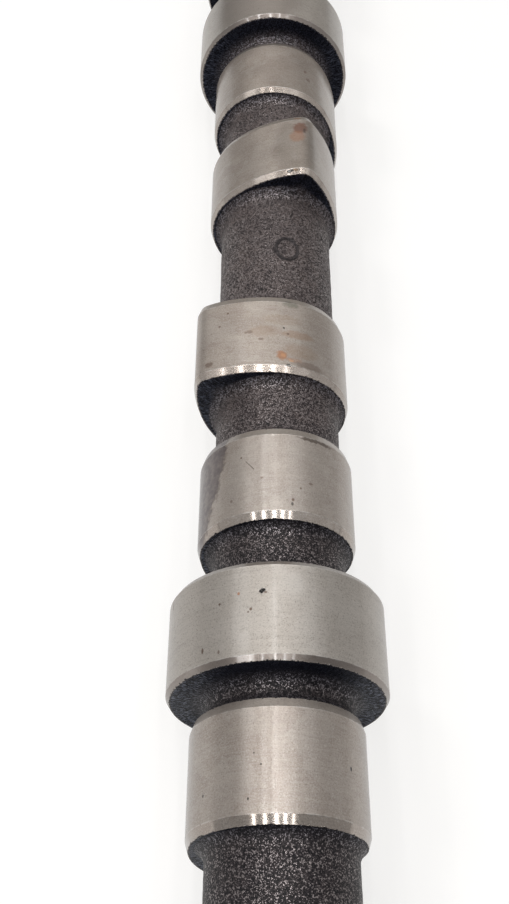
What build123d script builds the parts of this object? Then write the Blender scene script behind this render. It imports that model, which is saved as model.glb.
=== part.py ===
from build123d import *
import math
import os

# One-piece cast camshaft for an in-line engine of four cylinders with two valves each.
# Lengths are millimetres. The shaft's axis is the Y axis, the front journal's middle is the
# origin, the rear end lies towards +Y, and +Z is up as the shaft lies on its journals.
# Angles go round the axis from +X towards +Z. Casting, lobes and journals are one solid.

# Bearing journals, all of one size so that the shaft slides in from the end of the block
journal_diameter = 50.0
journal_width = 23.0
journal_bevel_length = 1.2
journal_bevel_depth = 0.8

# Cast shaft between the lands, with a root curve where it runs out into each side face
shaft_diameter = 32.0
root_length = 2.5
root_height = 2.0
root_pull_share = 0.3

# Cam lobes: base circle, convex flanks and a small nose that stays below the journals
base_circle_diameter = 38.4
lobe_lift = 5.7
nose_radius = 4.6
flank_radius = 36.0
lobe_width = 25.5
lobe_bevel_length = 2.0
lobe_bevel_depth = 0.65

# Places along the axis: each journal has a near lobe in front of it and a further one behind
lobe_to_journal = 30.0
journal_to_lobe = 38.5
lobe_spacing = 43.0
middle_bore_pitch = 113.0

# Timing: how far apart the two lobes of a cylinder stand, and the order the cylinders fire in
lobe_separation = 104.0
first_lobe_angle = 343.0
firing_order = (1, 3, 4, 2)

# Drive end: a seat for a keyed gear that is pressed on against the front journal's face
seat_diameter = 30.0
seat_length = 24.0
seat_chamfer = 1.0
keyway_width = 6.0
keyway_depth = 3.5
keyway_length = 16.0
keyway_end_gap = 3.5

# Centres in both end faces, on which the shaft is turned and ground
centre_diameter = 5.0
centre_depth = 9.0
centre_mouth_diameter = 10.0
centre_half_angle = 30.0
drill_half_angle = 59.0

full_turn = 360


def journal_places():
    """Axial place of each journal: one at each end and one on each side of the middle bay."""
    end_bay = journal_to_lobe + lobe_spacing + lobe_to_journal
    middle_bay = end_bay + middle_bore_pitch
    return [0, end_bay, end_bay + middle_bay, end_bay + middle_bay + end_bay]


def lobe_places():
    """Axial place and nose angle of each lobe, from the front, two lobes for each cylinder."""
    front, second, third, _ = journal_places()
    starts = [
        front + journal_to_lobe,
        second + journal_to_lobe,
        second + journal_to_lobe + middle_bore_pitch,
        third + journal_to_lobe,
    ]
    step = full_turn / len(firing_order)
    places = []
    for cylinder, start in enumerate(starts, start=1):
        angle = first_lobe_angle + step * firing_order.index(cylinder)
        places.append((start, angle))
        places.append((start + lobe_spacing, angle - lobe_separation))
    return places


def cross_section(place):
    """Plane across the shaft whose x is the object's X and whose y is the object's Z."""
    return Plane(origin=(0, place, 0), x_dir=(1, 0, 0), z_dir=(0, -1, 0))


def turned(points):
    """Solid of revolution about the shaft's axis from points of radius and axial place."""
    return revolve(make_face(Polyline(*points, close=True)), Axis.Y)


def journal(place):
    """One ground bearing land with a short bevel at each edge."""
    radius = journal_diameter / 2
    edge = radius - journal_bevel_depth
    half = journal_width / 2
    inner = half - journal_bevel_length
    rim = [(0, -half), (edge, -half), (radius, -inner), (radius, inner), (edge, half), (0, half)]
    return turned([(distance, place + offset) for distance, offset in rim])


def lobe_face(inset):
    """Cam outline with its nose along +X: base circle, two convex flanks and the nose arc."""
    base = base_circle_diameter / 2 - inset
    nose = nose_radius - inset
    flank = flank_radius - inset
    reach = base_circle_diameter / 2 + lobe_lift - nose_radius

    # Each flank's centre lies across the axis, where its arc touches base circle and nose
    to_axis = flank - base
    to_nose = flank - nose
    centre_x = (to_axis**2 - to_nose**2 + reach**2) / (2 * reach)
    centre_y = math.sqrt(to_axis**2 - centre_x**2)
    base_end = math.degrees(math.atan2(centre_y, -centre_x))
    nose_end = math.degrees(math.atan2(centre_y, reach - centre_x))

    nose_arc = CenterArc((reach, 0), nose, -nose_end, 2 * nose_end)
    upper_flank = CenterArc((centre_x, -centre_y), flank, nose_end, base_end - nose_end)
    base_arc = CenterArc((0, 0), base, base_end, full_turn - 2 * base_end)
    lower_flank = CenterArc((centre_x, centre_y), flank, -base_end, base_end - nose_end)
    return make_face([nose_arc, upper_flank, base_arc, lower_flank])


def lobe(place, angle):
    """One ground cam land, its nose turned to the angle, with a shallow bevel at each edge."""
    land_half = lobe_width / 2 - lobe_bevel_length
    full = Rotation(0, 0, angle) * lobe_face(0)
    small = Rotation(0, 0, angle) * lobe_face(lobe_bevel_depth)
    body = extrude(cross_section(place) * full, amount=land_half, both=True)
    for side in (-1, 1):
        inner = cross_section(place + side * land_half) * full
        outer = cross_section(place + side * lobe_width / 2) * small
        body += loft([inner, outer], ruled=True)
    return body


def neck(start, end):
    """Cast shaft between two side faces, swept out into a root curve at each of them."""
    radius = shaft_diameter / 2
    foot = radius + root_height
    pull = radius + root_pull_share * root_height
    rise = root_pull_share * root_length
    near_root = Bezier((foot, start), (pull, start + rise), (radius, start + root_length))
    far_root = Bezier((radius, end - root_length), (pull, end - rise), (foot, end))
    shaft = Line(near_root @ 1, far_root @ 0)
    ends = Polyline((foot, end), (0, end), (0, start), (foot, start))
    return revolve(make_face([near_root, shaft, far_root, ends]), Axis.Y)


def casting():
    """All the lands, joined by the cast shaft between each and the next."""
    lands = [(place, journal_width / 2, journal(place)) for place in journal_places()]
    for place, angle in lobe_places():
        lands.append((place, lobe_width / 2, lobe(place, angle)))
    lands.sort(key=lambda land: land[0])
    body = lands[0][2]
    for (place, half, _), (next_place, next_half, next_land) in zip(lands, lands[1:]):
        body += neck(place + half, next_place - next_half) + next_land
    return body


def gear_seat():
    """Machined seat at the drive end, from the front journal's face to a bevelled tip."""
    face = -journal_width / 2
    tip = face - seat_length
    radius = seat_diameter / 2
    edge = radius - seat_chamfer
    return turned([(0, face), (radius, face), (radius, tip + seat_chamfer), (edge, tip), (0, tip)])


def keyway():
    """Closed slot for a parallel key, let down into the top of the gear seat."""
    tip = -journal_width / 2 - seat_length
    middle = tip + keyway_end_gap + keyway_length / 2
    floor = seat_diameter / 2 - keyway_depth
    slot = Rotation(0, 0, 90) * SlotOverall(keyway_length, keyway_width)
    return extrude(Plane.XY.offset(floor) * Pos(0, middle) * slot, amount=seat_diameter / 2)


def centre_hole(face, inward):
    """Drilled centre with its tapered mouth, sunk from an end face."""
    radius = centre_diameter / 2
    mouth = centre_mouth_diameter / 2
    taper = (mouth - radius) / math.tan(math.radians(centre_half_angle))
    point = radius / math.tan(math.radians(drill_half_angle))
    steps = [(0, 0), (mouth, 0), (radius, taper), (radius, centre_depth), (0, centre_depth + point)]
    return turned([(distance, face + inward * depth) for distance, depth in steps])


def camshaft():
    """The whole shaft: casting and lands, the drive end, and the centres in both end faces."""
    front_face = -journal_width / 2 - seat_length
    rear_face = journal_places()[-1] + journal_width / 2
    body = casting() + gear_seat() - keyway()
    return body - centre_hole(front_face, 1) - centre_hole(rear_face, -1)


os.makedirs("parts", exist_ok=True)
export_step(camshaft(), "parts/camshaft.step")
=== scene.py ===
import math
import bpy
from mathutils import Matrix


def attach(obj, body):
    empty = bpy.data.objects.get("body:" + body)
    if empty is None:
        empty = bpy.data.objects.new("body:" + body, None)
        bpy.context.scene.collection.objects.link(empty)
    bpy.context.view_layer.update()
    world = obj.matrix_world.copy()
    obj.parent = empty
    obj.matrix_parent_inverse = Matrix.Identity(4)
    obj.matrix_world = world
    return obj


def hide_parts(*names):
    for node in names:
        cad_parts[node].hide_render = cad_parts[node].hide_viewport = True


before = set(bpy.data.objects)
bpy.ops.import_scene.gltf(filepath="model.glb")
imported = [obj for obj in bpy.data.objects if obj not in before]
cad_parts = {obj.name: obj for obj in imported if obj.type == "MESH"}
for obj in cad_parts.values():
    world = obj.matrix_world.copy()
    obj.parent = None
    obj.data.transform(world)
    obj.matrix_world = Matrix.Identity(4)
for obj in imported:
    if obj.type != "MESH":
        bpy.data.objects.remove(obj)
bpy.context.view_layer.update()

from types import SimpleNamespace

import bpy
import numpy as np
from mathutils import Matrix, Vector, noise

# The camshaft's surface is one closed mesh of rings round the axis, on the same named sizes as
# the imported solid. Sizes are millimetres and turned into metres when the mesh is made.
MM = 0.001
PER_METRE = 1000.0
# Points in each ring
AROUND = 240

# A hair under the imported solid's 25, whose facets make its box that much smaller
JOURNAL_RADIUS = 24.95
JOURNAL_HALF = 11.5
JOURNAL_BEVEL = (1.2, 0.8)
JOURNALS = (0.0, 111.5, 336.0, 447.5)

# Cam lobes, and where each stands along the axis with the angle of its nose
BASE_RADIUS = 19.2
LIFT = 5.7
NOSE_RADIUS = 4.6
FLANK_RADIUS = 36.0
LOBE_HALF = 12.75
LOBE_BEVEL = (2.0, 0.65)
LOBES = (
    (38.5, 343.0),
    (81.5, 239.0),
    (150.0, 253.0),
    (193.0, 149.0),
    (263.0, 73.0),
    (306.0, 329.0),
    (374.5, 163.0),
    (417.5, 59.0),
)

# Cast shaft between the lands, with a root curve at each side face
SHAFT_RADIUS = 16.0
ROOT_LENGTH = 2.5
ROOT_HEIGHT = 2.0
ROOT_PULL = 0.3

# Gear seat with its keyway, and the machining centres, whose tips are all but pointed
SEAT_RADIUS = 15.0
SEAT_LENGTH = 24.0
SEAT_CHAMFER = 1.0
KEYWAY_WIDTH = 6.0
KEYWAY_DEPTH = 3.5
KEYWAY_LENGTH = 16.0
KEYWAY_END_GAP = 3.5
CENTRE_RADIUS = 2.5
CENTRE_DEPTH = 9.0
CENTRE_TIP = 1.5
CENTRE_POINT = 0.02
CENTRE_MOUTH = 5.0
CENTRE_TAPER = 4.33

# Rings that only keep the mesh even: on a land beside its bevel, on the seat and the end faces
RIM_ROOM = 1.0
LAND_SHARES = (-0.5, 0.0, 0.5)
SEAT_RINGS = 11
SEAT_RING_STEP = 1.9
FRONT_FACE_RADIUS = 9.5
SHOULDER_RADII = (18.0, 21.0)
REAR_FACE_RADII = (18.0, 11.0)

# Rings on a side face, of which a wide one has more, and the width that is rough in full
WIDE_WALL = 7.0
WALL_SHARES = (0.25, 0.5, 0.75)
WIDE_WALL_SHARES = (0.2, 0.4, 0.6, 0.8)
ROUGH_WALL = 4.0

# How far the rough casting's axis lies from the ground lands' axis, at two places along it
CAST_OFFSET_PLACES = (60.0, 230.0)
CAST_OFFSETS = (0.7, 0.35)

# Cast shaft: spacing of its rings, points of a root curve, how rough its foot is, and the room
# that it keeps below a land's edge
CAST_STEP = 1.2
ROOT_POINTS = 5
FOOT_ROUGHNESS = 0.3
EDGE_ROOM = 0.35

# Unevenness of the cast skin: height in millimetres, and how many waves go into a millimetre
BUMPS = ((0.11, 0.16), (0.06, 0.5), (0.05, 1.3))

# Distance past the ground metal's edge, as the material reads it: deep in the ground metal, deep
# in the cast skin, at the foot of a root curve with its rise from there, and on the raised ring
FAR_IN = -9.0
FAR_OUT = 9.0
FOOT_SKIN = 6.0
SKIN_RISE = 0.9
ON_RING = 12.0

# Raised oval ring on the long bare stretch: place along, angle round, half sizes, bead radius
RING_PLACE = 227.1
RING_ANGLE = 83.7
RING_HALF_LENGTH = 4.0
RING_HALF_WIDTH = 3.1
RING_TUBE = 0.42
RING_STEPS = 72
RING_SIDES = 12

# Block that cuts the keyway: steps of each round end, and how far it stands above the seat
CUTTER_STEPS = 24
CUTTER_ROOM = 2.0

angles = np.arange(AROUND) * 2 * math.pi / AROUND


def cam_outline(nose_angle, inset):
    """Radius at each angle of a lobe's outline, drawn in by the inset."""
    base = BASE_RADIUS - inset
    nose = NOSE_RADIUS - inset
    flank = FLANK_RADIUS - inset
    reach = BASE_RADIUS + LIFT - NOSE_RADIUS
    to_axis, to_nose = flank - base, flank - nose
    centre_x = (to_axis**2 - to_nose**2 + reach**2) / (2 * reach)
    centre_y = math.sqrt(to_axis**2 - centre_x**2)

    # Half the lobe is enough, because the other half mirrors it
    turn = np.abs((angles - math.radians(nose_angle) + math.pi) % (2 * math.pi) - math.pi)
    base_start = math.atan2(centre_y, -centre_x)
    nose_end = math.atan2(centre_y, reach - centre_x)
    touch = (reach + nose * math.cos(nose_end), nose * math.sin(nose_end))
    along = centre_x * np.cos(turn) - centre_y * np.sin(turn)
    flank_part = along + np.sqrt(flank**2 - to_axis**2 + along**2)
    inside = np.maximum(nose**2 - (reach * np.sin(turn)) ** 2, 0)
    nose_part = reach * np.cos(turn) + np.sqrt(inside)
    outline = np.where(turn > base_start, base, flank_part)
    return np.where(turn < math.atan2(touch[1], touch[0]), nose_part, outline)


class Rings:
    """Collects rings of points along the axis, with what the mesh and its material need."""

    def __init__(self):
        self.places = []
        self.radii = []
        self.skins = []
        self.rims = []
        self.casts = []
        self.journals = []
        self.rears = []
        self.walls = []
        self.sharps = []

    def add(self, place, radius, skin=FAR_IN, rim=FAR_IN, cast=0.0, wall=0, sharp=False, rear=0.0):
        """Add one ring.

        skin is the distance past the ground metal's edge and rim that past the line where a land
        meets its bevel, both negative before it. cast is how rough the mould left the ring, wall
        the way that a side face looks along the axis, and rear is 1 on a land's rear bevel.
        """
        on_journal = any(abs(place - journal) <= JOURNAL_HALF for journal in JOURNALS)
        self.journals.append(float(on_journal) * np.ones(AROUND))
        whole = np.ones(AROUND)
        self.places.append(place)
        self.radii.append(radius * whole)
        self.skins.append(skin * whole)
        self.rims.append(rim * whole)
        self.casts.append(cast * whole)
        self.rears.append(rear * whole)
        self.walls.append(wall)
        self.sharps.append(sharp)


def add_land(rings, place, half, bevel, outline, small):
    """Ground land with its outline, between two bevels that end in the small outline."""
    length, depth = bevel
    slant = math.hypot(length, depth)
    flat = half - length
    for side in (-1, 1):
        bevel_rings = [
            (half, small, 0.0, slant, True),
            (flat, outline, -slant, 0.0, True),
            (flat - RIM_ROOM, outline, -slant - RIM_ROOM, -RIM_ROOM, False),
        ]
        for offset, radius, skin, rim, sharp in bevel_rings[::-side]:
            rings.add(place + side * offset, radius, skin, rim, sharp=sharp, rear=max(side, 0))
        if side < 0:
            for share in LAND_SHARES:
                middle = place + share * (flat - RIM_ROOM)
                rings.add(middle, outline, rim=-flat * (1 - abs(share)))


def add_wall(rings, place, edge, foot, side):
    """Cast side face between a land's edge and the foot of the root curve."""
    width = edge - foot
    shares = WALL_SHARES if np.max(width) < WIDE_WALL else WIDE_WALL_SHARES
    for share in shares[::side]:
        weight = np.clip(width / ROUGH_WALL, 0, 1) * min(1, 4 * share * (1 - share))
        rings.add(place, edge - width * share, width * share, cast=weight, wall=side)


def root_curve(start, side):
    """Points of radius and place along the root curve, from the wall to the shaft."""
    pull_radius = SHAFT_RADIUS + ROOT_PULL * ROOT_HEIGHT
    foot = np.array([SHAFT_RADIUS + ROOT_HEIGHT, start])
    pull = np.array([pull_radius, start + side * ROOT_PULL * ROOT_LENGTH])
    end = np.array([SHAFT_RADIUS, start + side * ROOT_LENGTH])
    shares = np.linspace(0, 1, ROOT_POINTS)
    return [(1 - t) ** 2 * foot + 2 * t * (1 - t) * pull + t * t * end for t in shares]


def add_span(rings, start, start_edge, end, end_edge):
    """Cast shaft between two lands, with both side faces."""
    offset = np.interp((start + end) / 2, CAST_OFFSET_PLACES, CAST_OFFSETS)
    shift = offset * np.cos(angles)
    near = root_curve(start, 1)
    far = root_curve(end, -1)[::-1]
    length = far[0][1] - near[-1][1]
    count = max(1, round(length / CAST_STEP))
    middle = [np.array([SHAFT_RADIUS, near[-1][1] + length * i / count]) for i in range(1, count)]
    near_foot = np.minimum(near[0][0] + shift, start_edge - EDGE_ROOM)
    far_foot = np.minimum(far[-1][0] + shift, end_edge - EDGE_ROOM)
    add_wall(rings, start, start_edge, near_foot, 1)
    curve = near + middle + far
    for index, (radius, place) in enumerate(curve):
        radii = radius + shift
        if index < len(near):
            radii = np.minimum(radii, near_foot)
        elif index >= len(near + middle):
            radii = np.minimum(radii, far_foot)
        at_foot = index in (0, len(curve) - 1)
        skin = min(FAR_OUT, FOOT_SKIN + SKIN_RISE * min(place - start, end - place))
        rings.add(place, radii, skin, cast=FOOT_ROUGHNESS if at_foot else 1.0)
    add_wall(rings, end, end_edge, far_foot, -1)


def centre_steps(face, inward):
    """Places and radii of a machining centre in an end face, from its mouth to its tip."""
    return [
        (face, CENTRE_MOUTH),
        (face + inward * CENTRE_TAPER, CENTRE_RADIUS),
        (face + inward * CENTRE_DEPTH, CENTRE_RADIUS),
        (face + inward * (CENTRE_DEPTH + CENTRE_TIP), CENTRE_POINT),
    ]


def build_rings():
    """All the rings, from the front centre's tip to the rear centre's tip."""
    rings = Rings()
    front = -JOURNAL_HALF - SEAT_LENGTH
    for place, radius in centre_steps(front, 1)[::-1]:
        rings.add(place, radius, sharp=True)
    rings.add(front, FRONT_FACE_RADIUS)
    rings.add(front, SEAT_RADIUS - SEAT_CHAMFER, sharp=True)
    rings.add(front + SEAT_CHAMFER, SEAT_RADIUS, sharp=True)
    for step in range(1, SEAT_RINGS + 1):
        rings.add(front + SEAT_CHAMFER + SEAT_RING_STEP * step, SEAT_RADIUS)
    rings.add(-JOURNAL_HALF, SEAT_RADIUS, sharp=True)
    for radius in SHOULDER_RADII:
        rings.add(-JOURNAL_HALF, radius)

    lands = []
    for place in JOURNALS:
        whole = np.full(AROUND, JOURNAL_RADIUS)
        small = np.full(AROUND, JOURNAL_RADIUS - JOURNAL_BEVEL[1])
        lands.append((place, JOURNAL_HALF, JOURNAL_BEVEL, whole, small))
    for place, angle in LOBES:
        small = cam_outline(angle, LOBE_BEVEL[1])
        lands.append((place, LOBE_HALF, LOBE_BEVEL, cam_outline(angle, 0), small))
    lands.sort(key=lambda land: land[0])
    add_land(rings, *lands[0])
    for land, following in zip(lands, lands[1:]):
        start = land[0] + land[1]
        end = following[0] - following[1]
        add_span(rings, start, land[4], end, following[4])
        add_land(rings, *following)

    rear = JOURNALS[-1] + JOURNAL_HALF
    for radius in REAR_FACE_RADII:
        rings.add(rear, radius)
    for place, radius in centre_steps(rear, -1):
        rings.add(place, radius, sharp=True)
    return rings


def cast_bumps(x, y, z, weights):
    """Roughness of the sand mould: along the radius on the shaft, along the axis on a wall."""
    lift = np.zeros(len(x))
    for index in np.nonzero(weights)[0]:
        point = Vector((x[index], y[index], z[index]))
        lift[index] = sum(height * noise.noise(point * waves) for height, waves in BUMPS)
    return lift * weights


def surface_mesh(rings):
    """Closed mesh through all the rings, with a point at each end."""
    places = np.repeat(np.array(rings.places), AROUND)
    radii = np.array(rings.radii)
    count = len(radii)
    turn = np.tile(angles, count)
    flat = radii.ravel()
    x, y, z = flat * np.cos(turn), places.copy(), flat * np.sin(turn)

    walls = np.repeat(rings.walls, AROUND)
    lift = cast_bumps(x, y, z, np.array(rings.casts).ravel())
    radial = np.where(walls == 0, lift, 0)
    x += radial * np.cos(turn)
    z += radial * np.sin(turn)
    y += lift * walls

    points = np.column_stack([x, y, z]) * MM
    first = np.array([[0, rings.places[0], 0]]) * MM
    last = np.array([[0, rings.places[-1], 0]]) * MM
    points = np.vstack([points, first, last])

    faces = []
    for ring in range(count - 1):
        for i in range(AROUND):
            j = (i + 1) % AROUND
            a, b = ring * AROUND + i, ring * AROUND + j
            faces.append((a, a + AROUND, b + AROUND, b))
    tip, tail = count * AROUND, count * AROUND + 1
    for i in range(AROUND):
        j = (i + 1) % AROUND
        faces.append((tip, i, j))
        faces.append((tail, (count - 1) * AROUND + j, (count - 1) * AROUND + i))

    mesh = bpy.data.meshes.new("camshaft_surface")
    mesh.from_pydata(points.tolist(), [], faces)
    mesh.polygons.foreach_set("use_smooth", [True] * len(mesh.polygons))
    for name, values, end in (
        ("skin", rings.skins, FAR_IN),
        ("rim", rings.rims, FAR_IN),
        ("journal", rings.journals, 0.0),
        ("rear", rings.rears, 0.0),
    ):
        layer = mesh.attributes.new(name, "FLOAT", "POINT")
        layer.data.foreach_set("value", np.append(np.array(values).ravel(), (end, end)))

    sharp = mesh.attributes.new("sharp_edge", "BOOLEAN", "EDGE")
    ends = np.empty(len(mesh.edges) * 2, dtype=int)
    mesh.edges.foreach_get("vertices", ends)
    ring_of = ends.reshape(-1, 2) // AROUND
    flags = np.array(rings.sharps + [False])
    same = ring_of[:, 0] == ring_of[:, 1]
    sharp.data.foreach_set("value", same & flags[np.minimum(ring_of[:, 0], count)])
    mesh.update()
    return mesh


def helper(name, points, faces, skin):
    """Small closed object, with the attributes that the material needs, to cut or join."""
    mesh = bpy.data.meshes.new(name)
    mesh.from_pydata([tuple(value * MM for value in point) for point in points], [], faces)
    mesh.polygons.foreach_set("use_smooth", [True] * len(mesh.polygons))
    for layer_name, value in (("skin", skin), ("rim", FAR_IN), ("journal", 0.0), ("rear", 0.0)):
        layer = mesh.attributes.new(layer_name, "FLOAT", "POINT")
        layer.data.foreach_set("value", [value] * len(points))
    item = bpy.data.objects.new(name, mesh)
    bpy.context.collection.objects.link(item)
    return item


def raised_ring():
    """Plain oval ring that stands a little proud of the long bare stretch of the shaft."""
    points, faces = [], []
    for step in range(RING_STEPS):
        turn = 2 * math.pi * step / RING_STEPS
        for side in range(RING_SIDES):
            tube = 2 * math.pi * side / RING_SIDES
            reach = RING_TUBE * math.cos(tube)
            along = RING_PLACE + (RING_HALF_LENGTH + reach) * math.cos(turn)
            arc = (RING_HALF_WIDTH + reach) * math.sin(turn) / SHAFT_RADIUS
            angle = math.radians(RING_ANGLE) + arc
            height = SHAFT_RADIUS + RING_TUBE * math.sin(tube)
            points.append((height * math.cos(angle), along, height * math.sin(angle)))
            here, following = step * RING_SIDES, (step + 1) % RING_STEPS * RING_SIDES
            up = (side + 1) % RING_SIDES
            faces.append((here + side, here + up, following + up, following + side))
    return helper("ring", points, faces, FAR_OUT)


def keyway_cutter():
    """Round-ended block that cuts the keyway."""
    middle = -JOURNAL_HALF - SEAT_LENGTH + KEYWAY_END_GAP + KEYWAY_LENGTH / 2
    half = (KEYWAY_LENGTH - KEYWAY_WIDTH) / 2
    radius = KEYWAY_WIDTH / 2
    outline = []
    for end in (1, -1):
        for step in range(CUTTER_STEPS + 1):
            turn = math.pi * step / CUTTER_STEPS + (0 if end > 0 else math.pi)
            along = middle + end * half + radius * math.sin(turn)
            outline.append((radius * math.cos(turn), along))
    floor, top = SEAT_RADIUS - KEYWAY_DEPTH, SEAT_RADIUS + CUTTER_ROOM
    points = [(x, y, z) for z in (floor, top) for x, y in outline]
    size = len(outline)
    faces = [tuple(range(size))[::-1], tuple(range(size, 2 * size))]
    faces += [(i, (i + 1) % size, (i + 1) % size + size, i + size) for i in range(size)]
    cutter = helper("cutter", points, faces, FAR_IN)
    cutter.data.polygons.foreach_set("use_smooth", [False] * len(faces))
    return cutter


def make_camshaft():
    """The whole shaft as one mesh, with the ring joined on and the keyway cut out."""
    mesh = surface_mesh(build_rings())
    shaft = bpy.data.objects.new("camshaft_body", mesh)
    bpy.context.collection.objects.link(shaft)
    helpers = ((raised_ring(), "UNION"), (keyway_cutter(), "DIFFERENCE"))
    for other, operation in helpers:
        step = shaft.modifiers.new(other.name, "BOOLEAN")
        step.operation = operation
        step.solver = "EXACT"
        step.object = other
    evaluated = shaft.evaluated_get(bpy.context.evaluated_depsgraph_get())
    shaft.data = bpy.data.meshes.new_from_object(evaluated)
    shaft.modifiers.clear()
    for other, _ in helpers:
        bpy.data.objects.remove(other)
    bpy.data.meshes.remove(mesh)

    # The joined ring comes without its own skin layer, so that layer is set here
    skin = shaft.data.attributes["skin"].data
    for vertex in shaft.data.vertices:
        if abs(vertex.co.y / MM - RING_PLACE) < 2 * RING_HALF_LENGTH:
            skin[vertex.index].value = FAR_OUT if skin[vertex.index].value > 0 else ON_RING
    return shaft


# Camera as solved from the photograph: place in metres, turns in radians, focal length in pixels
CAMERA_PLACE = (-0.02623, 0.00902, 0.22530)
CAMERA_PITCH, CAMERA_YAW, CAMERA_ROLL = 0.9508, -0.1292, 0.1648
FOCAL_PIXELS, LONG_SIDE_PIXELS = 1069.86, 904
SENSOR = 36
CLIP_START = 0.01


def make_camera():
    """Camera above the front journal, looking down along the shaft."""
    turn = Matrix.Rotation(CAMERA_YAW, 3, "Z")
    forward = turn @ Vector((0, math.cos(CAMERA_PITCH), -math.sin(CAMERA_PITCH)))
    up = turn @ Vector((0, math.sin(CAMERA_PITCH), math.cos(CAMERA_PITCH)))
    right = turn @ Vector((1, 0, 0))
    side = math.cos(CAMERA_ROLL) * right + math.sin(CAMERA_ROLL) * up
    top = math.cos(CAMERA_ROLL) * up - math.sin(CAMERA_ROLL) * right
    data = bpy.data.cameras.new("camera")
    data.sensor_width = data.sensor_height = SENSOR
    data.sensor_fit = "AUTO"
    data.lens = FOCAL_PIXELS / LONG_SIDE_PIXELS * SENSOR
    data.clip_start = CLIP_START
    camera = bpy.data.objects.new("camera", data)
    bpy.context.collection.objects.link(camera)
    axes = Matrix((side, top, -forward)).transposed()
    camera.matrix_world = Matrix.Translation(Vector(CAMERA_PLACE)) @ axes.to_4x4()
    bpy.context.scene.camera = camera


class Graph:
    """Shader nodes of one material, made by short calls that hand back a socket."""

    def __init__(self, name):
        self.material = bpy.data.materials.new(name)
        self.material.use_nodes = True
        self.tree = self.material.node_tree
        self.shader = self.tree.nodes["Principled BSDF"]

    def put(self, socket, value):
        """Link a socket to another one, or give it a number or a colour."""
        if isinstance(value, bpy.types.NodeSocket):
            self.tree.links.new(value, socket)
        elif isinstance(value, tuple) and socket.type == "RGBA":
            socket.default_value = (*value, 1)
        else:
            socket.default_value = value

    def node(self, kind, inputs=(), **settings):
        """New node, with its inputs by name or number and its settings by name."""
        made = self.tree.nodes.new(kind)
        for key, value in settings.items():
            setattr(made, key, value)
        for key, value in dict(inputs).items():
            self.put(made.inputs[key], value)
        return made

    def math(self, operation, *values):
        return self.node("ShaderNodeMath", enumerate(values), operation=operation).outputs[0]

    def vector(self, operation, *values):
        made = self.node("ShaderNodeVectorMath", operation=operation)
        for index, value in enumerate(values):
            self.put(made.inputs[index], value)
        return made.outputs["Value" if operation in ("LENGTH", "DISTANCE") else "Vector"]

    def noise(self, where, scale, detail=2.0, rough=0.5):
        """Noise of 0 to 1 with the middle at a half; scale is per millimetre."""
        inputs = {"Vector": where, "Scale": scale, "Detail": detail, "Roughness": rough}
        return self.node("ShaderNodeTexNoise", inputs).outputs[0]

    def step(self, value, low, high, bottom=0.0, top=1.0):
        """Smooth step of a value from low to high, turned into bottom to top."""
        inputs = {"Value": value, 1: low, 2: high, 3: bottom, 4: top}
        return self.node("ShaderNodeMapRange", inputs, interpolation_type="SMOOTHSTEP").outputs[0]

    def mix(self, factor, first, second):
        """Colour between two colours."""
        made = self.node("ShaderNodeMix", {"Factor": factor}, data_type="RGBA")
        for socket in made.inputs:
            if socket.type == "RGBA" and socket.name == "A":
                self.put(socket, first)
            if socket.type == "RGBA" and socket.name == "B":
                self.put(socket, second)
        return next(o for o in made.outputs if o.type == "RGBA")

    def blend(self, factor, first, second):
        """Number between two numbers."""
        span = self.math("SUBTRACT", second, first)
        return self.math("ADD", first, self.math("MULTIPLY", factor, span))


def stretched(graph, where, along, across):
    """Coordinates scaled along the axis and across it."""
    return graph.vector("MULTIPLY", where, (across, along, across))


def on_land(along, angle, radius):
    """Point on the surface from its place along the axis, its angle and its radius."""
    turn = math.radians(angle)
    return (radius * math.cos(turn), along, radius * math.sin(turn))


# Colours of what lies on the ground metal
RUST = (0.42, 0.17, 0.06)
BROWN = (0.16, 0.10, 0.07)
BLACK = (0.012, 0.010, 0.009)
PALE = (0.75, 0.72, 0.68)
VIOLET = (0.100, 0.072, 0.074)
VIOLET_RIM = (0.12, 0.085, 0.07)
# SHADE is painted shade, laid broadly over the tops of far lands
SHADE = (0.20, 0.17, 0.15)

# Ground metal itself: clouds of two tones on a lobe, the journals, lines, specks and bevels
LOBE_DARK, LOBE_LIGHT = (0.405, 0.340, 0.294), (0.470, 0.404, 0.352)
JOURNAL_TONE = (0.575, 0.535, 0.488)
LINE_DARK, LINE_LIGHT = (0.24, 0.205, 0.18), (0.62, 0.58, 0.53)
BAND_TONE = (0.32, 0.28, 0.245)
SPECK_DARK, SPECK_LIGHT = (0.20, 0.17, 0.148), (0.68, 0.64, 0.59)
BEVEL_TONE = (0.21, 0.165, 0.145)

# Cast skin: two tones in patches, the painted shadow over the near end, the painted shade and
# painted bluish reflection of side faces, hollows, bare grains, raised ring
SKIN_DARK, SKIN_LIGHT = (0.057, 0.043, 0.042), (0.098, 0.075, 0.070)
NEAR_SHADOW_TONE = (0.006, 0.0055, 0.008)
WALL_SHADE_TONE = (0.0025, 0.0035, 0.011)
HOLLOW_TONE = (0.003, 0.003, 0.004)
GRAIN_TONE, WALL_SHEEN_TONE = (0.250, 0.220, 0.218), (0.170, 0.190, 0.255)
RING_TONE = (0.018, 0.015, 0.016)

# Heights of the bumps in millimetres
GRAIN_HEIGHT, LUMP_HEIGHT, STREAK_HEIGHT = 0.13, 0.09, 0.14
SPECK_HEIGHT, LINE_HEIGHT, PIT_HEIGHT = 0.022, 0.0015, -0.12

# Roughness of a lobe's land, and what its clouds add and what a journal has more
LAND_ROUGH, CLOUD_ROUGH, JOURNAL_ROUGH = 0.42, 0.06, 0.13

# Roughness of a lobe's front bevel, what the far end adds, and that of all other bevels
BEVEL_ROUGH, FAR_BEVEL_ROUGH, WORN_BEVEL_ROUGH = 0.18, 0.09, 0.41

# Roughness of the cast skin and of its bare grains, and how much the skin mirrors
SKIN_ROUGH, GRAIN_ROUGH = 0.55, 0.24
SKIN_SPECULAR = 0.28

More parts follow.
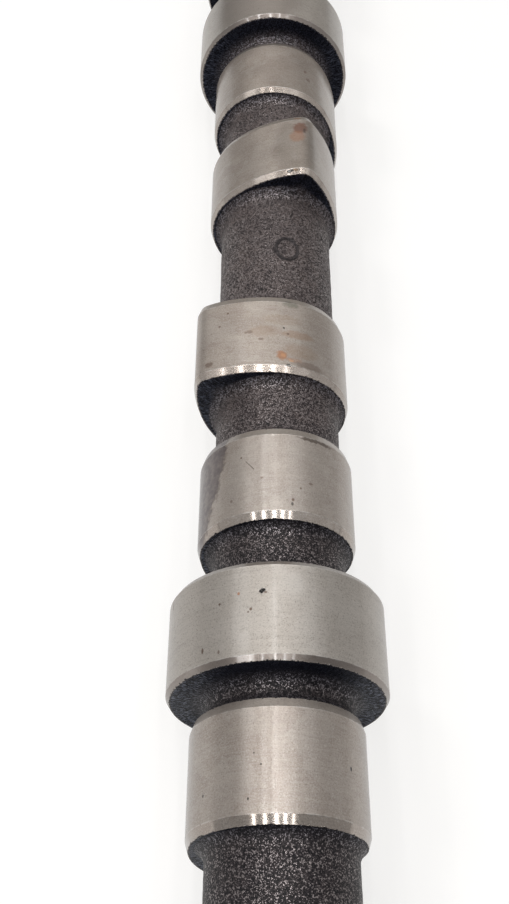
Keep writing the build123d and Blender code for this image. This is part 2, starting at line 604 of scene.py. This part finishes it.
# Thin film of oil on the ground metal, of which the journals have less
OIL, JOURNAL_OIL = 0.95, -0.10
OIL_ROUGHNESS = 0.08
OIL_IOR = 1.6

# Grinding runs round the axis, and stretches what the metal mirrors
ANISOTROPY = 0.75
ANISOTROPY_TURN = 0.25

# Where along the shaft skin and bevels change from the near end's look to the far end's; the near
# end's skin carries a painted shadow
NEAR_END, FAR_END = 120.0, 200.0

# Stains and marks, with three broad patches of painted shade: place along, angle, radius, half
# length along and round, colour, strength
MARKS = (
    (115.5, 103.5, 25.0, 0.62, 0.62, BLACK, 1.0),
    (115.2, 102.0, 25.0, 0.25, 0.45, BROWN, 0.8),
    (115.5, 115.6, 25.0, 0.42, 0.34, RUST, 0.8),
    (113.9, 125.9, 25.0, 0.35, 0.30, BROWN, 0.9),
    (111.5, 109.3, 25.0, 0.42, 0.34, BROWN, 0.9),
    (110.9, 110.6, 25.0, 0.30, 0.25, BROWN, 0.8),
    (104.2, 135.6, 25.0, 0.75, 0.35, BROWN, 0.9),
    (102.9, 125.8, 25.0, 0.50, 0.30, BROWN, 0.7),
    (117.4, 88.1, 25.0, 2.6, 3.0, PALE, 0.16),
    (112.0, 97.0, 25.0, 5.5, 2.2, PALE, 0.10),
    (104.5, 112.5, 25.0, 2.5, 1.6, PALE, 0.14),
    (120.2, 166.3, 25.0, 1.3, 0.4, BROWN, 0.9),
    (150.0, 92.0, 19.2, 17.0, 13.0, PALE, 0.12),
    (117.0, 89.5, 25.0, 4.2, 3.4, PALE, 0.14),
    (120.5, 94.0, 25.0, 1.6, 1.4, PALE, 0.18),
    (108.0, 84.0, 25.0, 3.0, 1.8, PALE, 0.08),
    (81.5, 46.2, 19.2, 0.55, 0.32, BLACK, 1.0),
    (76.2, 148.5, 19.2, 0.35, 0.30, BLACK, 0.8),
    (73.7, 114.5, 19.2, 0.28, 0.20, BLACK, 0.8),
    (82.7, 111.0, 19.2, 0.20, 0.14, BLACK, 0.8),
    (80.3, 106.7, 19.2, 0.22, 0.16, BLACK, 0.9),
    (185.4, 91.1, 19.3, 1.6, 1.6, RUST, 0.75),
    (185.6, 90.2, 19.3, 0.8, 0.8, (0.62, 0.33, 0.16), 0.6),
    (183.8, 84.4, 19.2, 0.55, 0.85, (0.66, 0.42, 0.26), 0.8),
    (184.2, 82.0, 19.2, 0.9, 2.2, RUST, 0.35),
    (183.2, 69.0, 19.2, 1.2, 4.8, BROWN, 0.50),
    (187.5, 76.0, 19.2, 2.6, 5.5, (0.34, 0.22, 0.13), 0.32),
    (197.5, 92.0, 19.3, 2.0, 6.0, (0.34, 0.24, 0.15), 0.26),
    (182.4, 86.0, 19.2, 0.42, 0.75, BLACK, 0.9),
    (192.8, 79.0, 19.2, 1.5, 5.0, (0.34, 0.20, 0.11), 0.42),
    (193.4, 104.0, 19.8, 2.2, 4.5, (0.34, 0.23, 0.15), 0.32),
    (193.1, 116.2, 20.6, 0.5, 1.3, BROWN, 0.55),
    (190.6, 106.9, 19.9, 0.45, 0.8, BROWN, 0.6),
    (194.7, 89.5, 19.2, 0.32, 0.28, BLACK, 0.9),
    (192.8, 86.4, 19.2, 0.35, 0.40, BROWN, 0.9),
    (200.4, 130.1, 22.2, 0.42, 0.35, BROWN, 0.8),
    (196.3, 135.3, 23.0, 0.40, 0.35, BROWN, 0.7),
    (184.2, 141.6, 24.0, 0.8, 1.3, BROWN, 0.7),
    (203.2, 84.0, 19.2, 1.3, 2.4, (0.17, 0.17, 0.13), 0.6),
    # The next three marks are painted shade, broad and darker over the tops of two lobes and a
    # journal at the far end
    (263.0, 80.5, 23.6, 15.0, 7.0, (0.17, 0.15, 0.125), 0.42),
    (306.0, 87.0, 19.2, 15.0, 9.0, SHADE, 0.20),
    (336.0, 109.0, 25.0, 24.0, 17.0, SHADE, 0.66),
    (269.8, 77.4, 24.4, 2.7, 2.4, (0.20, 0.085, 0.055), 0.75),
    (266.2, 79.8, 24.1, 2.7, 2.6, (0.36, 0.17, 0.09), 0.50),
    (269.0, 74.6, 24.6, 1.3, 0.5, (0.07, 0.06, 0.05), 0.6),
    (251.6, 84.6, 23.2, 0.6, 1.2, BLACK, 0.9),
    (251.9, 81.2, 23.5, 0.7, 0.8, (0.20, 0.12, 0.06), 0.7),
    (274.7, 79.0, 24.1, 0.7, 1.4, RUST, 0.45),
    (306.7, 64.1, 19.2, 0.9, 0.5, (0.22, 0.12, 0.10), 0.6),
    (303.3, 60.9, 19.2, 0.9, 0.8, (0.20, 0.12, 0.09), 0.5),
    (160.2, 66.0, 19.2, 0.60, 5.2, (0.10, 0.07, 0.05), 0.85),
    (142.2, 84.8, 19.2, 0.45, 0.38, BROWN, 0.9),
    (141.1, 85.2, 19.2, 0.55, 0.30, BLACK, 0.7),
    (145.6, 79.1, 19.2, 0.32, 0.28, BROWN, 0.8),
    (148.3, 106.5, 19.2, 0.32, 0.30, BROWN, 0.7),
    (155.0, 122.0, 19.2, 0.32, 0.30, BROWN, 0.8),
    (147.4, 71.4, 19.2, 0.40, 0.60, BROWN, 0.6),
    (143.5, 129.6, 19.2, 0.45, 0.35, BROWN, 0.6),
)

# Marks smaller than this keep a crisp outline, and larger ones get a wavering one
CRISP_MARK = 0.5

# Scratch on the lobe at 150: its two ends as place along and angle, the land's radius, its width
SCRATCH = (153.6, 118.4, 151.0, 112.2, 19.2, 0.09)

# Stain on the same lobe: X of its margin at the land's rear and front, and how far it wavers
STAIN_LAND = 150.0
STAIN_MARGIN = (-13.0, -17.6)
STAIN_WAVER = 3.2

# Level of a noise at which the edge of a dried tide mark lies
TIDE_LEVEL = 0.535


def surface_fields(g):
    """What the material reads at a point: its place, kind of land, edges and shared noises."""
    s = SimpleNamespace()
    metres = g.node("ShaderNodeTexCoord").outputs["Object"]
    s.where = g.vector("MULTIPLY", metres, (PER_METRE, PER_METRE, PER_METRE))
    s.split = g.node("ShaderNodeSeparateXYZ", {0: s.where}).outputs
    s.radial = g.vector("NORMALIZE", g.vector("MULTIPLY", s.where, (1.0, 0.0, 1.0)))
    for name in ("skin", "rim", "journal", "rear"):
        setattr(s, name, g.node("ShaderNodeAttribute", attribute_name=name).outputs["Fac"])
    s.behind = g.step(s.split[1], NEAR_END, FAR_END)

    # Where the mould's skin begins: the ground edge, made ragged
    ragged = g.math("SUBTRACT", g.noise(s.where, 1.5, detail=1.0), 0.5)
    edge = g.math("MULTIPLY_ADD", ragged, 1.1, s.skin)
    s.cast = g.step(edge, -0.04, 0.08)
    s.bevel = g.math("MULTIPLY", g.step(s.rim, 0.02, 0.12), g.step(s.skin, 0.1, -0.1))

    # Faint lines round the axis, soft clouds and fine specks of the ground metal
    s.lines = g.noise(stretched(g, s.where, 2.6, 0.20), 1.0, detail=3.0, rough=0.65)
    s.cloud = g.noise(s.where, 0.13, detail=3.0, rough=0.55)
    s.fine = g.noise(s.where, 3.2, detail=2.0, rough=0.7)

    # Place with a drift of a millimetre or so, for outlines that waver
    warp = g.node("ShaderNodeTexNoise", {"Vector": s.where, "Scale": 0.9, "Detail": 3.0})
    centred = g.vector("SUBTRACT", warp.outputs["Color"], (0.5, 0.5, 0.5))
    drift = g.vector("MULTIPLY", centred, (1.6, 1.6, 1.6))
    s.warped = g.vector("ADD", s.where, drift)
    return s


def ground_metal(g, s):
    """Colour of the ground metal before its marks."""
    bands = g.noise(stretched(g, s.where, 1.1, 0.03), 1.0)
    tone = g.mix(g.step(s.cloud, 0.35, 0.65), LOBE_DARK, LOBE_LIGHT)
    tone = g.mix(g.math("MULTIPLY", s.journal, 0.8), tone, JOURNAL_TONE)
    tone = g.mix(g.step(s.lines, 0.45, 0.72, top=0.20), tone, LINE_LIGHT)
    tone = g.mix(g.step(s.lines, 0.46, 0.28, top=0.20), tone, LINE_DARK)
    tone = g.mix(g.step(bands, 0.35, 0.7, top=0.12), tone, BAND_TONE)
    tone = g.mix(g.step(s.fine, 0.53, 0.72, top=0.62), tone, SPECK_DARK)
    tone = g.mix(g.step(s.fine, 0.47, 0.30, top=0.45), tone, SPECK_LIGHT)

    # A journal's bevels are darker, and rear bevels a little paler, as painted light that they
    # catch
    worked = g.math("MULTIPLY", s.bevel, s.journal)
    tone = g.mix(g.math("MULTIPLY", worked, 0.65), tone, BEVEL_TONE)
    rear_bevel_light = g.math("MULTIPLY", s.bevel, s.rear)
    tone = g.mix(g.math("MULTIPLY", rear_bevel_light, 0.15), tone, PALE)

    # Dried tide marks, pale within a thin darker edge
    tide = g.noise(s.where, 0.11, detail=4.0, rough=0.55)
    tone = g.mix(g.step(tide, TIDE_LEVEL, 0.555, top=0.08), tone, PALE)
    from_edge = g.math("ABSOLUTE", g.math("SUBTRACT", tide, TIDE_LEVEL))
    return g.mix(g.step(from_edge, 0.001, 0.008, bottom=0.10, top=0.0), tone, BROWN)


def marked(g, s, tone):
    """Colour with all the marks laid over it, and how deep the black ones go as pits."""
    pits = 0.0
    for along, angle, radius, long_half, round_half, colour, strength in MARKS:
        crisp = min(long_half, round_half) < CRISP_MARK
        centre = on_land(along, angle, radius)
        off = g.vector("SUBTRACT", s.where if crisp else s.warped, centre)
        shrink = (1 / round_half, 1 / long_half, 1 / round_half)
        far = g.vector("LENGTH", g.vector("MULTIPLY", off, shrink))
        mask = g.step(far, 0.6, 1.15, bottom=strength, top=0.0)
        tone = g.mix(mask, tone, colour)
        if colour == BLACK:
            pits = g.math("MAXIMUM", mask, pits)
    return tone, pits


def stained(g, s, tone):
    """Colour with the dark stain down one side of a lobe, wide at its rear, narrow at its front."""
    place = g.node("ShaderNodeSeparateXYZ", {0: s.warped}).outputs
    rear_margin, front_margin = STAIN_MARGIN
    slope = (rear_margin - front_margin) / (2 * LOBE_HALF)
    from_middle = g.math("SUBTRACT", place[1], STAIN_LAND)
    margin = g.math("MULTIPLY_ADD", from_middle, slope, (rear_margin + front_margin) / 2)
    waver = g.math("MULTIPLY_ADD", g.noise(s.where, 0.22), STAIN_WAVER, -STAIN_WAVER / 2)
    depth = g.math("SUBTRACT", g.math("ADD", margin, waver), place[0])
    distance = g.math("ABSOLUTE", from_middle)
    here = g.step(distance, LOBE_HALF, LOBE_HALF + 1, bottom=1.0, top=0.0)
    blotch = g.noise(s.where, 0.5, detail=3.0, rough=0.6)
    blotch = g.step(blotch, 0.35, 0.65, bottom=0.68, top=0.96)
    inside = g.math("MULTIPLY", g.math("MULTIPLY", g.step(depth, -0.1, 0.25), blotch), here)
    tone = g.mix(inside, tone, VIOLET)
    rim = g.step(g.math("ABSOLUTE", depth), 0.1, 0.6, bottom=0.50, top=0.0)
    return g.mix(g.math("MULTIPLY", rim, here), tone, VIOLET_RIM)


def scratch_mask(g, s):
    """Thin scratch, from the distance to a line between its two ends."""
    start_along, start_angle, end_along, end_angle, radius, width = SCRATCH
    start = Vector(on_land(start_along, start_angle, radius))
    run = Vector(on_land(end_along, end_angle, radius)) - start
    off = g.vector("SUBTRACT", s.where, tuple(start))
    inputs = {0: off, 1: tuple(run / run.length_squared)}
    share = g.node("ShaderNodeVectorMath", inputs, operation="DOT_PRODUCT").outputs["Value"]
    inputs = {0: tuple(run), "Scale": g.node("ShaderNodeClamp", {0: share}).outputs[0]}
    nearest = g.node("ShaderNodeVectorMath", inputs, operation="SCALE").outputs["Vector"]
    away = g.vector("DISTANCE", off, nearest)
    return g.step(away, width * 0.5, width * 1.5, bottom=0.55, top=0.0)


def cast_skin(g, s):
    """Near black skin of the mould, brownish in patches, with bare grains that glint."""
    patch = g.noise(s.where, 0.22, detail=3.0, rough=0.6)
    clump = g.math("SUBTRACT", g.noise(s.where, 1.3, detail=1.0), 0.5)
    grain = g.math("MULTIPLY_ADD", clump, 0.38, g.noise(s.where, 2.9, detail=1.5, rough=0.65))
    lumps = g.noise(s.where, 1.0, detail=3.0, rough=0.6)

    # Side faces have few grains, but streaks that run outwards, fewer at the far end and cut on
    # top, which leaves the top as painted shade
    near_land = g.step(s.skin, 3.0, 8.8, bottom=1.0, top=0.0)
    wall = g.math("MULTIPLY", g.step(s.skin, 0.1, 0.5), near_land)
    outward = g.vector("MULTIPLY", s.radial, (52.0, 0.0, 52.0))
    outward = g.vector("ADD", outward, g.vector("MULTIPLY", s.where, (0.8, 0.8, 0.8)))
    striae = g.noise(outward, 1.0, detail=2.0, rough=0.65)
    more = g.math("MULTIPLY_ADD", s.behind, 0.035, grain)
    on_wall = g.step(wall, 0.0, 1.0, bottom=1.0, top=0.18)
    grains = g.math("MULTIPLY", g.step(more, 0.555, 0.64), on_wall)
    height_round = g.node("ShaderNodeSeparateXYZ", {0: s.radial}).outputs[2]
    # Painted shade: streaks thin out on top of the side faces, so that the top stays darker
    low = g.step(height_round, 0.88, 0.55, bottom=0.12, top=1.0)
    low = g.math("MULTIPLY", low, g.math("MULTIPLY_ADD", s.behind, -0.6, 1.0))
    streaks = g.math("MULTIPLY", g.step(striae, 0.50, 0.64, top=0.95), low)
    glint = g.math("MAXIMUM", grains, g.math("MULTIPLY", wall, streaks))

    tone = g.mix(g.step(patch, 0.35, 0.65), SKIN_DARK, SKIN_LIGHT)
    # Painted shadow: the skin darkens towards the near end, where the person with the camera stands
    # over it
    tone = g.mix(g.math("MULTIPLY_ADD", s.behind, -0.74, 0.74), tone, NEAR_SHADOW_TONE)
    # Painted shade: side faces darkened, with a bluish tint that they mirror as a painted bluish
    # reflection
    tone = g.mix(g.math("MULTIPLY", wall, 0.94), tone, WALL_SHADE_TONE)
    tone = g.mix(g.step(grain, 0.50, 0.38, top=0.90), tone, HOLLOW_TONE)
    # On side faces the bare grains and streaks take a bluish tone, a painted bluish reflection
    tone = g.mix(glint, tone, g.mix(wall, GRAIN_TONE, WALL_SHEEN_TONE))
    on_ring = g.step(s.skin, 10.0, 11.5)
    tone = g.mix(g.math("MULTIPLY", on_ring, 0.8), tone, RING_TONE)

    lump_height = g.math("MULTIPLY", lumps, LUMP_HEIGHT)
    height = g.math("MULTIPLY_ADD", grain, GRAIN_HEIGHT, lump_height)
    height = g.math("MULTIPLY_ADD", g.math("MULTIPLY", striae, wall), STREAK_HEIGHT, height)
    height = g.math("MULTIPLY", height, g.math("MULTIPLY_ADD", on_ring, -0.8, 1.0))
    bare = g.math("MULTIPLY", glint, g.step(on_ring, 0.0, 1.0, bottom=0.8, top=0.1))
    bare = g.math("MAXIMUM", bare, g.math("MULTIPLY", wall, 0.85))
    rough = g.blend(glint, SKIN_ROUGH, GRAIN_ROUGH)
    return SimpleNamespace(tone=tone, height=height, bare=bare, rough=rough)


def iron_material():
    """Ground cast iron on the lands and dark sand-cast skin between, parted by a ragged edge."""
    g = Graph("camshaft_iron")
    s = surface_fields(g)
    tone, pits = marked(g, s, ground_metal(g, s))
    tone = stained(g, s, tone)
    scratch = scratch_mask(g, s)
    tone = g.mix(scratch, tone, BLACK)

    # Painted highlight: pale line along the slightly rounded edge where a land meets its bevel
    edge_highlight = g.step(g.math("ABSOLUTE", s.rim), 0.05, 0.26, bottom=0.5, top=0.0)
    patchy = g.step(g.noise(s.where, 0.5, detail=3.0, rough=0.7), 0.40, 0.62)
    tone = g.mix(g.math("MULTIPLY", edge_highlight, patchy), tone, PALE)

    # Specks and lines stand out less on bevels and journals
    height = g.math("MULTIPLY_ADD", s.fine, SPECK_HEIGHT, g.math("MULTIPLY", s.lines, LINE_HEIGHT))
    height = g.math("MULTIPLY", height, g.step(s.bevel, 0.0, 1.0, bottom=1.0, top=0.06))
    height = g.math("MULTIPLY", height, g.math("MULTIPLY_ADD", s.journal, -0.55, 1.0))
    height = g.math("MULTIPLY_ADD", g.math("MAXIMUM", pits, scratch), PIT_HEIGHT, height)

    rough = g.math("ADD", LAND_ROUGH, g.step(s.cloud, 0.3, 0.7, top=CLOUD_ROUGH))
    rough = g.math("MULTIPLY_ADD", s.journal, JOURNAL_ROUGH, rough)
    bevel_rough = g.math("MULTIPLY_ADD", s.behind, FAR_BEVEL_ROUGH, BEVEL_ROUGH)
    bevel_rough = g.blend(g.math("MAXIMUM", s.journal, s.rear), bevel_rough, WORN_BEVEL_ROUGH)
    rough = g.blend(s.bevel, rough, bevel_rough)

    skin = cast_skin(g, s)
    height = g.blend(s.cast, height, skin.height)
    bump = g.node("ShaderNodeBump", {"Strength": 1.0, "Distance": MM, "Height": height})
    normal = bump.outputs["Normal"]
    oil = g.math("MULTIPLY_ADD", s.journal, JOURNAL_OIL, OIL)
    across = {0: s.split[2], 2: g.math("MULTIPLY", s.split[0], -1.0)}
    across = g.node("ShaderNodeCombineXYZ", across).outputs[0]
    inputs = g.shader.inputs
    g.put(inputs["Base Color"], g.mix(s.cast, tone, skin.tone))
    g.put(inputs["Metallic"], g.blend(s.cast, 1.0, skin.bare))
    g.put(inputs["Roughness"], g.blend(s.cast, rough, skin.rough))
    g.put(inputs["Normal"], normal)
    g.put(inputs["Coat Weight"], g.blend(s.cast, oil, 0.0))
    g.put(inputs["Coat Normal"], normal)
    g.put(inputs["Tangent"], g.vector("NORMALIZE", across))
    inputs["Coat Roughness"].default_value = OIL_ROUGHNESS
    inputs["Coat IOR"].default_value = OIL_IOR
    inputs["Specular IOR Level"].default_value = SKIN_SPECULAR
    inputs["Anisotropic"].default_value = ANISOTROPY
    inputs["Anisotropic Rotation"].default_value = ANISOTROPY_TURN
    return g.material


# Floor: its level and half its width in metres, its colour, and the glow that lifts it to white
FLOOR_LEVEL = -25.0 * MM
FLOOR_HALF = 3.0
FLOOR_TONE = (0.97, 0.96, 0.945)
FLOOR_ROUGHNESS = 0.9
GLOW_TONE = (1.0, 0.995, 0.985)
GLOW_SEEN = 1.06
GLOW_NEAR, GLOW_FAR = 0.58, 0.22
GLOW_START, GLOW_END = 0.35, 1.3
SEEN_SHARE, MIRRORED_SHARE = 0.60, 0.72


def floor_material():
    """Matt white, lifted to pure white where the camera sees it, so that shadows stay soft."""
    g = Graph("floor")
    g.shader.inputs["Base Color"].default_value = (*FLOOR_TONE, 1)
    g.shader.inputs["Roughness"].default_value = FLOOR_ROUGHNESS
    path = g.node("ShaderNodeLightPath").outputs
    away = g.vector("LENGTH", g.node("ShaderNodeTexCoord").outputs["Object"])
    unseen = g.step(away, GLOW_START, GLOW_END, bottom=GLOW_NEAR, top=GLOW_FAR)
    strength = g.blend(path["Is Camera Ray"], unseen, GLOW_SEEN)
    glow = g.node("ShaderNodeEmission", {"Color": GLOW_TONE, "Strength": strength})
    seen = g.math("MULTIPLY", path["Is Camera Ray"], SEEN_SHARE)
    mirrored = g.math("MULTIPLY", path["Is Glossy Ray"], MIRRORED_SHARE)
    share = g.math("MAXIMUM", seen, mirrored)
    mixed = g.node("ShaderNodeMixShader", {0: share, 1: g.shader.outputs[0], 2: glow.outputs[0]})
    g.tree.links.new(mixed.outputs[0], g.tree.nodes["Material Output"].inputs["Surface"])
    return g.material


def add_lamp(name, place, size, level):
    """Area lamp over the shaft, of a given radiance, tipped sideways so that it faces the shaft."""
    lamp = bpy.data.lights.new(name, "AREA")
    lamp.shape = "RECTANGLE"
    lamp.size, lamp.size_y = size
    lamp.energy = level * math.pi * size[0] * size[1]
    item = bpy.data.objects.new(name, lamp)
    bpy.context.collection.objects.link(item)
    item.location = place
    item.rotation_euler = (0, math.atan2(place[0], place[2]), 0)
    return item


# Surround: its colour by direction, from -1 against the shaft's Y axis to 1 along it. It is
# darker on the near side, where the person with the camera stands, and far off.
SURROUND = (
    (-0.8, (0.10, 0.10, 0.10)),
    (-0.25, (0.36, 0.36, 0.36)),
    (0.15, (0.58, 0.58, 0.58)),
    (0.6, (0.57, 0.56, 0.55)),
    (0.76, (0.425, 0.411, 0.392)),
    (0.9, (0.185, 0.174, 0.159)),
)

# Tubes along the shaft overhead: angle from straight up, start and end in metres, radiance
TUBES = (
    (-37, -0.95, 0.30, 9.0),
    (-23, -0.95, 0.50, 12.0),
    (-23, 0.72, 0.98, 9.0),
    (-9, -0.95, 0.50, 16.0),
    (-9, 0.50, 0.98, 4.5),
    (2, -0.95, 0.48, 12.0),
    (12, -0.95, 0.48, 7.0),
)
TUBE_HEIGHT, TUBE_WIDTH = 1.0, 0.03

# Soft panels: name, place and size in metres, radiance
PANELS = (
    ("key", (-1.0, -1.15, 1.1), (0.5, 0.5), 5.0),
    ("fill", (0.58, 0.45, 0.95), (0.45, 0.5), 0.45),
    ("right", (0.38, 0.85, 1.0), (0.5, 0.6), 0.50),
    ("left", (-0.85, 0.68, 0.9), (0.4, 0.55), 0.90),
)

# Lamp for the soft shadow on the floor, which the metal doesn't mirror
SHADOW_LAMP = ("shadow", (-0.60, 0.60, 0.90), (0.20, 0.20), 16.0)


def make_floor():
    """Pale floor on which the journals lie."""
    half = FLOOR_HALF
    corners = [(-half, -half), (half, -half), (half, half), (-half, half)]
    floor_mesh = bpy.data.meshes.new("floor")
    floor_mesh.from_pydata([(*corner, FLOOR_LEVEL) for corner in corners], [], [(0, 1, 2, 3)])
    floor = bpy.data.objects.new("floor", floor_mesh)
    bpy.context.collection.objects.link(floor)
    floor.data.materials.append(floor_material())


def make_surround():
    """World that lights the shaft from all round, and is plain white where the camera sees it."""
    world = bpy.data.worlds.new("surround")
    bpy.context.scene.world = world
    world.use_nodes = True
    tree = world.node_tree
    split = tree.nodes.new("ShaderNodeSeparateXYZ")
    tree.links.new(tree.nodes.new("ShaderNodeTexCoord").outputs["Generated"], split.inputs[0])
    share = tree.nodes.new("ShaderNodeMapRange")
    share.inputs["From Min"].default_value = -1.0
    tree.links.new(split.outputs["Y"], share.inputs["Value"])
    ramp = tree.nodes.new("ShaderNodeValToRGB")
    ramp.color_ramp.interpolation = "EASE"
    for _ in range(len(SURROUND) - 2):
        ramp.color_ramp.elements.new(0.5)
    for stop, (direction, colour) in zip(ramp.color_ramp.elements, SURROUND):
        stop.position = (direction + 1) / 2
        stop.color = (*colour, 1)
    tree.links.new(share.outputs[0], ramp.inputs[0])
    mix = tree.nodes.new("ShaderNodeMix")
    mix.data_type = "RGBA"
    first, second = (socket for socket in mix.inputs if socket.type == "RGBA")
    light_path = tree.nodes.new("ShaderNodeLightPath")
    tree.links.new(light_path.outputs["Is Camera Ray"], mix.inputs[0])
    tree.links.new(ramp.outputs["Color"], first)
    second.default_value = (1, 1, 1, 1)
    colour = next(socket for socket in mix.outputs if socket.type == "RGBA")
    tree.links.new(colour, tree.nodes["Background"].inputs["Color"])
    tree.nodes["Background"].inputs["Strength"].default_value = 1.0


def make_lamps():
    """Row of narrow tubes overhead, soft panels round them, and the lamp for the shadow."""
    for angle, start, end, level in TUBES:
        turn = math.radians(angle)
        place = (TUBE_HEIGHT * math.sin(turn), (start + end) / 2, TUBE_HEIGHT * math.cos(turn))
        add_lamp("tube", place, (TUBE_WIDTH, end - start), level)
    for name, place, size, level in PANELS:
        add_lamp(name, place, size, level)
    add_lamp(*SHADOW_LAMP).visible_glossy = False


shaft = make_camshaft()
shaft.data.materials.clear()
shaft.data.materials.append(iron_material())
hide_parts("camshaft")
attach(shaft, "root")
make_camera()
make_floor()
make_surround()
make_lamps()
bpy.context.scene.view_settings.view_transform = "Standard"
